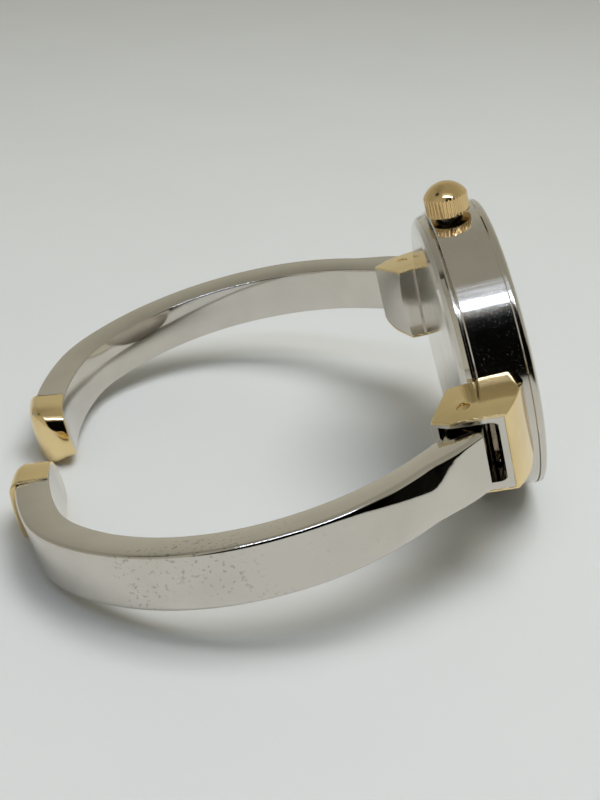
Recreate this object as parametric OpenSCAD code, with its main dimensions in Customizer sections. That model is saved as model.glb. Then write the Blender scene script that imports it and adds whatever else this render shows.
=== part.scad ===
// Cuff watch: a round watch case between two sprung cuff arms.
// Watch frame: +X is the outward normal of the dial, +Z runs towards the crown,
// -Y towards twelve o'clock. The plan frame of an arm has u going backwards from
// the dial and v going outwards from the middle of the watch.

/* [Case] */
// Radius of the polished case barrel
case_r = 16; // [13:0.1:20]
// Rear end of the barrel along the dial normal
barrel_back = -1.6; // [-2.5:0.1:-1]
// Front end of the barrel along the dial normal
barrel_front = 3.4; // [2.8:0.1:4]
// Rear face of the case back along the dial normal
back_face = -3.1; // [-4:0.05:-2.6]
// Radius of the flat part of the case back
back_flat_r = 14; // [12:0.1:15]
// Radius of the opening in the front band
window_r = 14; // [12:0.1:14]
// Height of the top of the crystal above the middle plane
crystal_top = 4.5; // [4.3:0.05:5]
// Gap of the seam between the barrel and the case back
seam = 0.22; // [0.05:0.01:0.3]

/* [Crown] */
// Radius of the crown over its flutes
crown_r = 2.3; // [1.5:0.1:3]
// Length of the fluted side of the crown
crown_len = 1.8; // [1.6:0.1:3.5]
// Height of the domed end of the crown
crown_dome = 1.45; // [0.2:0.05:1.6]
// Number of flutes around the crown
crown_flutes = 36; // [20:1:60]
// Gap between the pushed-in crown and the case
crown_gap = 0.5; // [0.2:0.05:0.8]
// Distance the crown can be pulled out
crown_pull = 0.8; // [0.3:0.1:1.5]
// Height of the winding stem above the middle plane
stem_z = 0.5; // [0.5:0.05:1]

/* [Cuff] */
// Height of the bar at its outer face
bar_h = 6.45; // [4:0.05:9]
// Height lost at each edge towards the inner face
bar_slope = 0.45; // [0:0.05:0.8]
// Thickness of the bar
bar_t = 3.65; // [2:0.05:6]
// Rounding of the outer edges of the bar
bar_round = 0.6; // [0.1:0.05:1]
// Widest point of the bar behind the middle of the case
wide_u = 25.2; // [20:0.1:32]
// Half width of the cuff at the middle of the bar
wide_v = 30.85; // [24:0.05:36]
// Radius of the front stretch of the arm
arc_front_r = 29; // [24:0.1:45]
// Direction of the arm where it leaves the lug
lug_angle = 35.4; // [20:0.1:50]
// Radius of the rear stretch of the arm
arc_rear_r = 25.6; // [18:0.1:40]
// Direction of the arm where the corner begins
corner_from = 47.8; // [30:0.1:60]
// Radius of the corner
corner_r = 14; // [8:0.1:20]
// Direction of the arm where the corner ends
tip_from = 71; // [62:0.5:80]
// Radius of the last stretch of the arm
tip_r = 32; // [20:0.5:60]
// Direction of the arm at its end
tip_angle = 91; // [82:0.5:96]
// Turn by which the arm at six is longer, and the arm at twelve shorter
tip_extra = 2.15; // [0:0.05:3]

/* [Hinge] */
// Distance of the hinge pin behind the middle of the case
pin_u = 3.85; // [2:0.05:6]
// Distance of the hinge pin from the middle of the watch
pin_v = 19.8; // [17:0.05:24]
// Radius of the hinge pin
pin_r = 0.65; // [0.4:0.05:1]
// Radial running clearance of the arm on its pin
pin_fit = 0.04; // [0.01:0.01:0.1]
// Half height of the lug hood at its highest
hood_h = 4.5; // [4:0.05:5.5]
// Half height of the lug hood below the middle plane
hood_low = 4.65; // [4:0.05:5.5]
// Thickness of the hood skin
hood_skin = 0.25; // [0.2:0.05:0.8]

/* [End caps] */
// Half height of the end cap
cap_h = 3.4; // [3.2:0.05:4.5]
// Flare of the cap beyond the outer face of the bar
cap_flare = 1; // [0.4:0.05:2]
// Length of the cap over the end of the bar
cap_over = 3.8; // [2.5:0.1:6]
// Length of the cap beyond the end of the bar
cap_nose = 2.6; // [1:0.05:3]
// Radius of the domed end of the cap
cap_dome = 5; // [4:0.1:9]
// Radius of the round outer corner of the cap in plan
cap_corner = 4.2; // [2:0.1:4.4]
// Thickness of the cap over the end of the arm
cap_skin = 0.45; // [0.3:0.05:1]

/* [Movement] */
// Radius of the movement
move_r = 11.8; // [9:0.1:12]
// Module of the motion wheels
motion_m = 0.125; // [0.1:0.005:0.2]
// Module of the train wheels
train_m = 0.14; // [0.1:0.005:0.2]

/* [Hidden] */
$fn = 96;
tiny = 0.01;

// corner points of the arm's middle line in plan
front_u = wide_u - arc_front_r * sin(lug_angle);
front_v = wide_v - arc_front_r * (1 - cos(lug_angle));
rear_u = wide_u + arc_rear_r * sin(corner_from);
rear_v = wide_v - arc_rear_r * (1 - cos(corner_from));
bend_u = rear_u - corner_r * sin(corner_from);
bend_v = rear_v - corner_r * cos(corner_from);
tip_cu = bend_u + (corner_r - tip_r) * sin(tip_from);
tip_cv = bend_v + (corner_r - tip_r) * cos(tip_from);
tip_u = tip_cu + tip_r * sin(tip_angle);
tip_v = tip_cv + tip_r * cos(tip_angle);

// the watch rests on the rear edge of its barrel and on both end caps
foot_x = barrel_back + 0.12;
foot_z = -case_r;
heel_u = tip_u + 2.073;
heel_z = -cap_h - 0.015;
rest_tilt = atan((heel_z - foot_z) / (foot_x + heel_u));
rest_lift = -(foot_x * sin(rest_tilt) + foot_z * cos(rest_tilt));
rest_x = 21.199;

// hood and block outline in plan
hood_cu = 11.27;
hood_cv = 13.6;
hood_cr = 14.22;
hood_front = -2.95;
hood_rear = 7.4;
swell_r = 48;
swell_low_r = 96;
slot_h = bar_h / 2 + 0.12;
knuckle_r = 1.7;

// heights inside the case along the dial normal
dial_z = 2.5;
plate_z = 1.25;
motion_z = 1.9;

// From the watch frame to the resting pose on the floor
module rest() {
    translate([rest_x, 0, rest_lift])
        rotate([0, -rest_tilt, 0])
            children();
}

// From a frame with the dial facing up, x to three and y to twelve
module dial_up() {
    rest()
        rotate([0, 90, 0])
            rotate([0, 0, 180])
                children();
}

// From the plan frame of an arm to the twelve o'clock side
module side_12() {
    rest()
        rotate([0, 0, 180])
            children();
}

// From the plan frame of an arm to the six o'clock side
module side_6() {
    rest()
        mirror([0, 1, 0])
            rotate([0, 0, 180])
                children();
}

// Ring between two heights
module ring(r_out, r_in, z0, z1) {
    translate([0, 0, z0])
        difference() {
            cylinder(r = r_out, h = z1 - z0);
            translate([0, 0, -1])
                cylinder(r = r_in, h = z1 - z0 + 2);
        }
}

// Disc between two heights
module disc(r, z0, z1) {
    translate([0, 0, z0])
        cylinder(r = r, h = z1 - z0);
}

// Toothed outline with straight flanks, tooth zero on +x
module toothed(teeth, m) {
    pr = teeth * m / 2;
    step = 360 / teeth;
    polygon([for (i = [0 : teeth - 1])
        for (p = [[-0.31, -1.15], [-0.11, 0.85], [0.11, 0.85], [0.31, -1.15]])
            [(pr + p[1] * m) * cos(step * (i + p[0])), (pr + p[1] * m) * sin(step * (i + p[0]))]]);
}

// Toothed wheel between two heights
module gear(teeth, m, z0, z1, phase) {
    translate([0, 0, z0])
        rotate([0, 0, phase])
            linear_extrude(height = z1 - z0)
                toothed(teeth, m);
}

module case_body() {
    color("silver")
        dial_up()
            difference() {
                rotate_extrude()
                    polygon([[14.2, barrel_back], [case_r - 0.12, barrel_back],
                        [case_r, barrel_back + 0.12], [case_r, barrel_front],
                        [14.6, barrel_front], [14.6, dial_z], [13.4, dial_z], [13.4, 0.2],
                        [14.2, 0.2]]);
                translate([12, 0, stem_z])
                    rotate([0, 90, 0])
                        cylinder(r = 1.1, h = 5, $fn = 48);
            }
}

module bezel() {
    color("silver")
        dial_up()
            rotate_extrude() {
                polygon([[window_r + 0.62, barrel_front], [case_r, barrel_front],
                    [case_r + 0.12, barrel_front + 0.1], [case_r + 0.12, barrel_front + 0.35],
                    [case_r - 0.27, barrel_front + 0.84], [window_r + 0.5, barrel_front + 1.11],
                    [window_r + 0.5, barrel_front + 0.55], [window_r + 0.62, barrel_front + 0.55]]);
                translate([case_r - 0.38, barrel_front + 0.35])
                    intersection() {
                        circle(r = 0.5);
                        square([1, 1]);
                    }
            }
}

module crystal() {
    color("lightblue", 0.4)
        dial_up()
            rotate_extrude()
                polygon([[0, 3.65], [window_r, 3.65], [window_r, crystal_top - 0.2],
                    [window_r - 0.25, crystal_top], [0, crystal_top]]);
}

module crystal_gasket() {
    color("white")
        dial_up()
            ring(window_r + 0.5, window_r, 3.65, barrel_front + 0.95);
}

module flange_ring() {
    color("gainsboro")
        dial_up()
            rotate_extrude()
                polygon([[13.1, dial_z + 0.35], [14.55, dial_z + 0.35], [14.55, 3.6], [13.9, 3.6]]);
}

module dial() {
    color("white")
        dial_up()
            difference() {
                disc(14.5, dial_z, dial_z + 0.3);
                disc(0.95, dial_z - 1, dial_z + 1);
            }
}

module hour_markers() {
    color("goldenrod")
        dial_up()
            for (i = [0 : 11])
                rotate([0, 0, 30 * i])
                    translate([i % 3 == 0 ? 9.3 : 10.3, -0.28, dial_z + 0.3])
                        cube([i % 3 == 0 ? 3 : 2, 0.56, 0.22]);
}

module hand_blade(reach, wide, tail) {
    polygon([[-tail, -wide * 0.4], [0, -wide / 2], [reach * 0.75, -wide / 2], [reach, 0],
        [reach * 0.75, wide / 2], [0, wide / 2], [-tail, wide * 0.4]]);
}

module hour_hand() {
    color("goldenrod")
        dial_up()
            rotate([0, 0, 145])
                difference() {
                    union() {
                        translate([0, 0, 3.05])
                            linear_extrude(height = 0.13)
                                hand_blade(7.2, 0.9, 1.6);
                        disc(0.95, 3.05, 3.18);
                    }
                    disc(0.7, 2.9, 4);
                }
}

module minute_hand() {
    color("goldenrod")
        dial_up()
            rotate([0, 0, 30])
                difference() {
                    union() {
                        translate([0, 0, 3.3])
                            linear_extrude(height = 0.14)
                                hand_blade(11.2, 0.7, 2);
                        disc(0.75, 3.3, 3.44);
                    }
                    disc(0.45, 3, 3.38);
                }
}

// places of the wheels in the movement
minute_at = 45;
minute_d = (12 + 36) * motion_m / 2;
minute_x = minute_d * cos(minute_at);
minute_y = minute_d * sin(minute_at);
setting_at = -14;
setting_d = (36 + 16) * motion_m / 2;
setting_x = minute_x + setting_d * cos(setting_at);
setting_y = minute_y + setting_d * sin(setting_at);
hour_m = 2 * minute_d / (10 + 40);
third_at = 160;
third_d = (8 + 32) * train_m / 2;
third_x = third_d * cos(third_at);
third_y = third_d * sin(third_at);
inter_at = 110;
inter_d = (8 + 30) * train_m / 2;
inter_x = third_x + inter_d * cos(inter_at);
inter_y = third_y + inter_d * sin(inter_at);
rotor_at = 62;
rotor_d = 2.1;
rotor_x = inter_x + rotor_d * cos(rotor_at);
rotor_y = inter_y + rotor_d * sin(rotor_at);

module hour_wheel() {
    color("goldenrod")
        dial_up()
            difference() {
                union() {
                    gear(40, hour_m, 2.2, 2.4, minute_at + 180 + 180 / 40);
                    disc(0.7, 2.2, 3.18);
                }
                disc(0.49, 2, 4);
            }
}

module centre_wheel() {
    color("goldenrod")
        dial_up()
            difference() {
                union() {
                    gear(12, motion_m, 1.95, 2.15, minute_at);
                    disc(0.45, 0.4, 3.38);
                    gear(32, train_m, 0.4, 0.6, third_at);
                }
                disc(0.22, 0, 3.2);
            }
}

module minute_wheel() {
    color("goldenrod")
        dial_up()
            translate([minute_x, minute_y, 0])
                difference() {
                    union() {
                        gear(36, motion_m, 1.95, 2.15, minute_at + 180 + 180 / 36);
                        gear(10, hour_m, 2.15, 2.42, minute_at + 180);
                    }
                    disc(0.24, 1, 3);
                }
}

module setting_wheel() {
    color("goldenrod")
        dial_up()
            translate([setting_x, setting_y, 0])
                difference() {
                    gear(16, motion_m, 1.95, 2.3, setting_at + 180 + 180 / 16
                        - (minute_at + 180 + 180 / 36 - setting_at) * 36 / 16);
                    disc(0.34, 1, 3);
                }
}

module third_wheel() {
    color("goldenrod")
        dial_up()
            translate([third_x, third_y, 0]) {
                gear(8, train_m, 0.38, 0.66, third_at + 180 + 180 / 8);
                gear(30, train_m, 0.72, 0.88, inter_at);
                disc(0.3, 0.38, 0.88);
                disc(0.12, -0.02, 1.45);
            }
}

module intermediate_wheel() {
    color("goldenrod")
        dial_up()
            translate([inter_x, inter_y, 0]) {
                gear(8, train_m, 0.68, 0.95, inter_at + 180 + 180 / 8);
                gear(36, 0.1, 0.32, 0.46, rotor_at);
                disc(0.3, 0.32, 0.95);
                disc(0.12, -0.02, 1.45);
            }
}

module rotor() {
    color("dimgray")
        dial_up()
            translate([rotor_x, rotor_y, 0]) {
                gear(6, 0.1, 0.3, 0.52, rotor_at + 180 + 180 / 6);
                disc(0.6, 0.58, 1.08);
                disc(0.2, 0.3, 1.08);
                disc(0.1, -0.02, 1.45);
            }
}

module stator() {
    color("lightgray")
        dial_up()
            difference() {
                translate([0, 0, 0.68])
                    linear_extrude(height = 0.3)
                        polygon([[-6.1, 7.1], [-6.1, 5.6], [rotor_x - 1.4, rotor_y - 0.4],
                            [rotor_x - 0.7, rotor_y - 1.05], [rotor_x + 0.9, rotor_y - 1.2],
                            [rotor_x + 1.4, rotor_y - 0.4], [2, 5.6], [2, 7.1], [0.6, 7.1],
                            [0.6, 6.6], [rotor_x + 1, 6.5], [rotor_x - 1, 6.5], [-4.7, 6.6], [-4.7, 7.1]]);
                translate([rotor_x, rotor_y, 0])
                    disc(0.75, 0, 2);
            }
}

module coil() {
    color("peru")
        dial_up()
            translate([-6.3, 8.1, 0.25]) {
                rotate([0, 90, 0])
                    cylinder(r = 0.3, h = 8.5);
                translate([1.3, 0, 0])
                    rotate([0, 90, 0])
                        cylinder(r = 0.95, h = 5.9);
                translate([0, -2.3, 0.13])
                    cube([1.3, 3.2, 0.3]);
                translate([7.2, -2.3, 0.13])
                    cube([1.3, 3.2, 0.3]);
            }
}

module main_plate() {
    color("darkkhaki")
        dial_up()
            difference() {
                union() {
                    disc(move_r, plate_z, 1.85);
                    translate([minute_x, minute_y, 0])
                        disc(0.2, plate_z, 2.45);
                    translate([setting_x, setting_y, 0])
                        disc(0.3, plate_z, 2.35);
                    translate([-6.2, 1.6, 0])
                        disc(0.5, 0.25, plate_z + 0.1);
                    translate([2.9, 1.5, 0])
                        disc(0.5, 0.25, plate_z + 0.1);
                    translate([9.5, -3.8, 0])
                        disc(0.25, 0.9, plate_z + 0.1);
                }
                disc(0.5, 0, 2);
                translate([third_x, third_y, 0])
                    disc(0.14, 1, 1.7);
                translate([inter_x, inter_y, 0])
                    disc(0.14, 1, 1.7);
                translate([rotor_x, rotor_y, 0])
                    disc(0.12, 1, 1.7);
                translate([-1, -6.9, 0])
                    disc(3.3, 1, 2);
                translate([5.2, -0.9, 1])
                    cube([8, 1.8, 0.5]);
            }
}

module train_bridge() {
    color("silver")
        dial_up()
            difference() {
                union() {
                    translate([0, 0, -0.05])
                        linear_extrude(height = 0.3)
                            polygon([[-7.4, 2.2], [-5.6, -0.6], [-2.2, -2], [2.4, -1.9], [3.8, 1],
                                [3.2, 2.4], [0.9, 3.3], [-0.3, 6.6], [-3.9, 6.6], [-6.2, 5.4]]);
                    disc(0.19, 0, 3.1);
                }
                for (p = screw_at)
                    translate([p[0], p[1], 0])
                        disc(0.3, -1, 1);
                translate([third_x, third_y, 0])
                    disc(0.14, -1, 1);
                translate([inter_x, inter_y, 0])
                    disc(0.14, -1, 1);
                translate([rotor_x, rotor_y, 0])
                    disc(0.12, -1, 1);
            }
}

module circuit_board() {
    color("darkgreen")
        dial_up()
            difference() {
                ring(11.2, 6.4, 0.95, 1.15);
                translate([-12, -12, 0])
                    cube([24, 12.9, 2]);
                translate([-12, 0, 0])
                    cube([14.6, 12, 2]);
            }
}

module quartz_can() {
    color("silver")
        dial_up()
            translate([3.8, 8.6, 0.05])
                rotate([0, 90, -42])
                    cylinder(r = 0.8, h = 5);
}

module battery() {
    color("silver")
        dial_up()
            translate([-1, -6.9, 0])
                rotate_extrude()
                    polygon([[0, -0.95], [3.8, -0.95], [3.95, -0.8], [3.95, 0.9], [3.1, 0.9], [3.1, 1.15], [0, 1.15]]);
}

module battery_clip() {
    color("silver")
        dial_up()
            difference() {
                union() {
                    translate([0.8, -10, -1.15])
                        cube([1.2, 8.4, 0.2]);
                    translate([0.8, -1.8, -1.15])
                        cube([1.2, 0.2, 1.1]);
                    translate([0.8, -1.7, -0.25])
                        cube([1.2, 1.5, 0.2]);
                }
                translate([1.4, -0.9, 0])
                    disc(0.3, -2, 0);
            }
}

// places of the movement screws and the height of each head's underside
screw_at = [[-6.2, 1.6, -0.05], [2.9, 1.5, -0.05], [1.4, -0.9, -0.25]];

module movement_screws() {
    color("silver")
        dial_up()
            for (p = screw_at)
                translate([p[0], p[1], p[2]])
                    difference() {
                        union() {
                            disc(0.55, -0.3, 0);
                            disc(0.3, 0, 0.25 - p[2]);
                        }
                        translate([-0.6, -0.08, -0.4])
                            cube([1.2, 0.16, 0.25]);
                    }
}

module movement_ring() {
    color("white")
        dial_up()
            difference() {
                ring(13.35, move_r + 0.02, 0.25, dial_z);
                translate([10, -1.2, stem_z - 1.2])
                    cube([5, 2.4, 2.4]);
            }
}

module sliding_pinion() {
    color("silver")
        dial_up()
            translate([6.4, 0, stem_z])
                rotate([0, 90, 0])
                    difference() {
                        union() {
                            cylinder(r = 0.52, h = 1.8, $fn = 48);
                            gear(12, 0.09, 0, 0.5, 0);
                        }
                        translate([0, 0, -1])
                            cylinder(r = 0.33, h = 4, $fn = 48);
                    }
}

module winding_stem() {
    color("silver")
        dial_up()
            translate([0, 0, stem_z])
                rotate([0, 90, 0]) {
                    translate([0, 0, 5.6])
                        cylinder(r = 0.3, h = 4, $fn = 48);
                    translate([0, 0, 8.6])
                        cylinder(r = 0.45, h = 0.3, $fn = 48);
                    translate([0, 0, 9.5])
                        cylinder(r = 0.45, h = case_r + crown_gap + 1.9 - 9.5, $fn = 48);
                }
}

// Lever whose peg sits in the groove of the stem
module setting_lever() {
    color("silver")
        dial_up()
            difference() {
                union() {
                    translate([0, 0, 1.0])
                        linear_extrude(height = 0.2)
                            polygon([[9.1, -3.8], [9.9, -3.8], [9.3, -0.62], [8.9, -0.62]]);
                    translate([9.5, -3.8, 0])
                        disc(0.5, 1, 1.2);
                    translate([9.1, -0.62, 0])
                        disc(0.2, stem_z - 0.15, 1.2);
                }
                translate([9.5, -3.8, 0])
                    disc(0.28, 0, 2);
            }
}

module crown() {
    color("gold")
        dial_up()
            translate([case_r + crown_gap, 0, stem_z])
                rotate([0, 90, 0])
                    difference() {
                        intersection() {
                            linear_extrude(height = crown_len + crown_dome + 1)
                                difference() {
                                    circle(r = crown_r);
                                    for (i = [0 : crown_flutes - 1])
                                        rotate([0, 0, 360 / crown_flutes * i])
                                            translate([crown_r + 0.05, 0])
                                                circle(r = 0.13, $fn = 24);
                                }
                            rotate_extrude()
                                intersection() {
                                    union() {
                                        translate([0, crown_len + crown_dome - dome_r])
                                            circle(r = dome_r, $fn = 240);
                                        translate([0, -1])
                                            square([crown_r + 1, crown_len + 1]);
                                    }
                                    translate([0, -1])
                                        square([crown_r + 0.5, 6]);
                                }
                        }
                        translate([0, 0, -1])
                            cylinder(r = 1.45, h = 2.2, $fn = 48);
                        cylinder(r = 0.45, h = 1.9, $fn = 48);
                    }
}

// The dome starts a hair outside the flutes
dome_r = (pow(crown_r + 0.03, 2) + pow(crown_dome, 2)) / (2 * crown_dome);

module crown_gasket() {
    color("black")
        dial_up()
            translate([case_r + crown_gap + 0.3, 0, stem_z])
                rotate([0, 90, 0])
                    rotate_extrude()
                        translate([1.25, 0])
                            circle(r = 0.2, $fn = 24);
}

module case_tube() {
    color("silver")
        dial_up()
            translate([13.6, 0, stem_z])
                rotate([0, 90, 0])
                    difference() {
                        union() {
                            cylinder(r = 1.1, h = case_r - 13.6 - 0.06, $fn = 48);
                            cylinder(r = 1, h = case_r + crown_gap + 1.1 - 13.6, $fn = 48);
                        }
                        translate([0, 0, -1])
                            cylinder(r = 0.5, h = 6, $fn = 48);
                    }
}

module case_back() {
    color("silver")
        dial_up()
            difference() {
                rotate_extrude()
                    polygon([[0, back_face], [back_flat_r, back_face],
                        [back_flat_r + 1, back_face + 0.17], [case_r - 0.45, back_face + 0.55],
                        [case_r - 0.25, -2.05], [case_r - 0.25, barrel_back - seam],
                        [14.1, barrel_back - seam], [14.1, -0.75], [13.6, -0.75],
                        [13.6, -2.2], [0, -2.2]]);
                rotate([0, 0, 38])
                    translate([case_r - 0.5, -1, -2.65])
                        cube([2, 2, 0.45]);
            }
}

module back_gasket() {
    color("black")
        dial_up()
            ring(14.19, 14.11, -1.3, -0.9);
}

// Outline of the hood in plan, its outer arc pulled in by g, with a rounded ridge
module hood_plan(g) {
    intersection() {
        translate([hood_cu, hood_cv])
            circle(r = hood_cr - g, $fn = 192);
        difference() {
            polygon([[-5, 13], [1.5, 13], [4.75, 15.7], [7.35, 20.7], [5.65, 21.85], [-5, 23.6]]);
            translate([3.15, 16.96])
                difference() {
                    polygon([[1.18, -1.36], [1.97, -2.26], [3, -2.2], [2.66, -1.38], [1.6, -0.83]]);
                    circle(r = 2);
                }
        }
    }
}

// Side outline of the hood pulled in by g, with round front corners and a round lower rear one
module hood_side(g) {
    front = hood_front + g;
    top = hood_h - g;
    low = hood_low - g;
    rotate([90, 0, 0])
        translate([0, 0, -30])
            linear_extrude(height = 20)
                difference() {
                    translate([front, -low])
                        square([hood_rear - front, top + low]);
                    translate([front + 2 - g, top - 2 + g])
                        difference() {
                            translate([-3, 0])
                                square(3);
                            circle(r = 2 - g);
                        }
                    translate([front + 2.2 - g, 2.2 - g - low])
                        difference() {
                            translate([-3, -3])
                                square(3);
                            circle(r = 2.2 - g);
                        }
                    translate([hood_rear - 1.9, 1.9 - low])
                        difference() {
                            translate([0, -3])
                                square(3);
                            circle(r = 1.9);
                        }
                }
}

// Solid hood pulled in by g, its top and bottom gently swelling
module hood_solid(g) {
    intersection() {
        translate([0, 0, -6])
            linear_extrude(height = 12)
                hood_plan(g);
        hood_side(g);
        translate([1, 16, hood_h - g - swell_r])
            sphere(r = swell_r, $fn = 192);
        translate([1, 16, swell_low_r + g - hood_low])
            sphere(r = swell_low_r, $fn = 192);
    }
}

// Room for the round case and for taking off its back, cut from the lugs
module case_room() {
    rotate([0, 90, 0]) {
        translate([0, 0, -10])
            cylinder(r = case_r, h = 20, $fn = 192);
        translate([0, 0, 0.12 - barrel_back])
            cylinder(r = case_r + 0.45, h = 20, $fn = 192);
        translate([0, 0, -20])
            cylinder(r = case_r + 0.3, h = 20.05 - barrel_front, $fn = 192);
    }
}

// Pocket in the block for the swinging end of the arm
module arm_pocket() {
    intersection() {
        translate([0, 0, -slot_h])
            linear_extrude(height = 2 * slot_h)
                union() {
                    translate([pin_u, pin_v])
                        circle(r = knuckle_r + 0.2);
                    polygon([[pin_u - 1.7, pin_v - 0.5], [pin_u, pin_v - 1.2],
                        [pin_u + 1.68, pin_v - 0.88], [6.75, 20.98], [8.65, 24.6], [1.6, 26],
                        [1.25, 22.4], [1.35, 20.6]]);
                }
        rotate([90, 0, 0])
            translate([0, 0, -30])
                linear_extrude(height = 20)
                    difference() {
                        translate([1.1, -5])
                            square([12, 10]);
                        for (k = [-1, 1])
                            translate([2, k * (slot_h - 0.9)])
                                difference() {
                                    translate([-2, k > 0 ? 0 : -2])
                                        square(2);
                                    circle(r = 0.9);
                                }
                    }
    }
}

module lug_block() {
    difference() {
        hood_solid(hood_skin);
        arm_pocket();
        case_room();
        translate([pin_u, pin_v, -6])
            cylinder(r = pin_r, h = 12, $fn = 48);
    }
}

module lug_hood() {
    difference() {
        hood_solid(0);
        intersection() {
            translate([0, 0, -6])
                linear_extrude(height = 12)
                    translate([hood_cu, hood_cv])
                        circle(r = hood_cr - hood_skin, $fn = 192);
            hood_side(hood_skin);
            translate([1, 16, hood_h - hood_skin - swell_r])
                sphere(r = swell_r, $fn = 192);
            translate([1, 16, swell_low_r + hood_skin - hood_low])
                sphere(r = swell_low_r, $fn = 192);
        }
        translate([0, 0, -6])
            linear_extrude(height = 12)
                polygon([[4, 10], [4.9, 15.6], [9, 22.5], [12, 20], [12, 10]]);
        case_room();
        translate([pin_u, pin_v, -6])
            cylinder(r = pin_r, h = 12, $fn = 48);
    }
}

module hinge_pin() {
    translate([pin_u, pin_v, 0.38 - hood_h])
        cylinder(r = pin_r, h = 2 * hood_h - 0.76, $fn = 48);
}

// Close-wound spring: seated turns and two legs
module hinge_spring() {
    translate([pin_u, pin_v, 0]) {
        for (z = [-0.8 : 0.4 : 0.85])
            translate([0, 0, z])
                rotate_extrude()
                    translate([1.15, 0])
                        circle(r = 0.21, $fn = 16);
        translate([-1.15, 0, 0.8])
            rotate([-90, 0, -12])
                cylinder(r = 0.2, h = 1.2, $fn = 16);
        translate([1.15, 0, -0.8])
            rotate([90, 0, 30])
                cylinder(r = 0.2, h = 0.8, $fn = 16);
    }
}

// a hair's step lets one stretch of the bar end inside the next
step = 0.01;
slope_a = atan(bar_slope / bar_t);
edge_y = bar_h / 2 - bar_round * tan(slope_a) - bar_round / cos(slope_a);

// Section of the bar, smaller by g all round: x outwards from its middle line, y up
module bar_section(g) {
    half = bar_t / 2;
    cx = half - bar_round;
    r = bar_round - g;
    iy = bar_h / 2 - bar_slope - g;
    tx = cx - r * sin(slope_a);
    ty = edge_y + r * cos(slope_a);
    polygon([[g - half, iy], [tx, ty], [cx, edge_y], [cx + r, edge_y],
        [cx + r, -edge_y], [cx, -edge_y], [tx, -ty], [g - half, -iy]]);
    translate([cx, edge_y])
        circle(r = r, $fn = 48);
    translate([cx, -edge_y])
        circle(r = r, $fn = 48);
}

// Arc of the bar about a centre, from one angle to another
module bar_arc(cu, cv, r, a0, a1, g) {
    translate([cu, cv, 0])
        rotate([0, 0, a0])
            rotate_extrude(angle = a1 - a0, $fn = 240)
                translate([r, 0])
                    bar_section(g);
}

// Straight stretch of the bar along +x between two places
module bar_line(x0, x1, g) {
    translate([x0, 0, 0])
        rotate([90, 0, 90])
            linear_extrude(height = x1 - x0)
                bar_section(g);
}

// Last arc of the arm with its domed end inside the cap, back to an angle
module arm_tip(back) {
    side = bar_t / 2 + cap_flare;
    intersection() {
        bar_arc(0, -tip_r, tip_r, 85, back, step);
        cap_dome_shape(cap_skin);
        translate([0, 0, -5])
            linear_extrude(height = 10)
                difference() {
                    translate([-14, -6])
                        square([18, 10]);
                    translate([cap_nose - cap_corner, side - cap_corner])
                        difference() {
                            square([6, 6]);
                            circle(r = cap_corner - cap_skin);
                        }
                }
    }
}

// Domed end in side view, pulled in by g
module cap_dome_shape(g) {
    rotate([90, 0, 0])
        translate([cap_nose - cap_dome, -0.5, -5])
            linear_extrude(height = 10)
                union() {
                    circle(r = cap_dome - g);
                    translate([-14, -4.4])
                        square([14, 8.8]);
                }
}

// Moves to the end of an arm that turns on by some degrees more, +x along it
module arm_end(extra) {
    translate([tip_cu + tip_r * sin(tip_angle + extra), tip_cv + tip_r * cos(tip_angle + extra), 0])
        rotate([0, 0, -tip_angle - extra])
            children();
}

module arm(extra) {
    difference() {
        union() {
            // from the mouth of the lug to the front arc
            translate([front_u, front_v, 0])
                rotate([0, 0, 180 + lug_angle])
                    mirror([0, 1, 0])
                        bar_line(-0.3, 5.3, step);
            bar_arc(wide_u, wide_v - arc_front_r, arc_front_r, 90, 90 + lug_angle, 0);
            bar_arc(wide_u, wide_v - arc_rear_r, arc_rear_r, 89 - corner_from, 91, step);
            bar_arc(bend_u, bend_v, corner_r, 90 - tip_from, 90 - corner_from, 0);
            arm_end(extra)
                arm_tip(91 + tip_angle + extra - tip_from);
            // tongue between the cheeks of the lug
            translate([0, 0, -bar_h / 2 + 0.35])
                linear_extrude(height = bar_h - 0.7)
                    union() {
                        polygon([[3.16, 23.7], [pin_u - knuckle_r, pin_v], [pin_u, pin_v - knuckle_r + 0.2],
                            [pin_u + knuckle_r, pin_v - 0.1], [6.2, 21.75], [7, 23.4], [5, 24]]);
                        translate([pin_u, pin_v])
                            circle(r = knuckle_r);
                    }
        }
        translate([pin_u, pin_v, -6])
            cylinder(r = pin_r + pin_fit, h = 12, $fn = 48);
        translate([pin_u, pin_v, -1.15])
            cylinder(r = knuckle_r + 0.1, h = 2.3);
    }
}

// Plan outline of the cap with a round outer corner
module cap_plan() {
    side = bar_t / 2 + cap_flare;
    difference() {
        polygon([[0.6 - cap_over, -bar_t / 2], [-cap_over - 0.1, side - 0.6],
            [-cap_over, side + 1], [cap_nose + 1, side + 1], [cap_nose + 1, -bar_t / 2]]);
        translate([cap_nose - cap_corner, side - cap_corner])
            difference() {
                square([6, 6]);
                circle(r = cap_corner);
            }
    }
}

// Section of the cap across the bar, its outer face bulging: x outwards, y up
module cap_section() {
    side = bar_t / 2 + cap_flare;
    intersection() {
        translate([side - 14, -0.8])
            circle(r = 14, $fn = 192);
        union() {
            polygon([[-bar_t / 2, cap_h - 0.5], [1.5, cap_h], [1.6, cap_h], [2.4, 2.5], [4, 2.5],
                [4, -2.5], [2.6, -2.5], [1.85, -cap_h], [1.5, -cap_h], [-bar_t / 2, 0.5 - cap_h]]);
            translate([1.6, cap_h - 0.9])
                circle(r = 0.9);
            translate([1.85, 0.9 - cap_h])
                circle(r = 0.9);
        }
    }
}

module end_cap(extra) {
    arm_end(extra)
        difference() {
            intersection() {
                translate([0, 0, -5])
                    linear_extrude(height = 10)
                        cap_plan();
                rotate([90, 0, 90])
                    translate([0, 0, -8])
                        linear_extrude(height = 16)
                            cap_section();
                cap_dome_shape(0);
            }
            arm_tip(106);
        }
}

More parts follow.
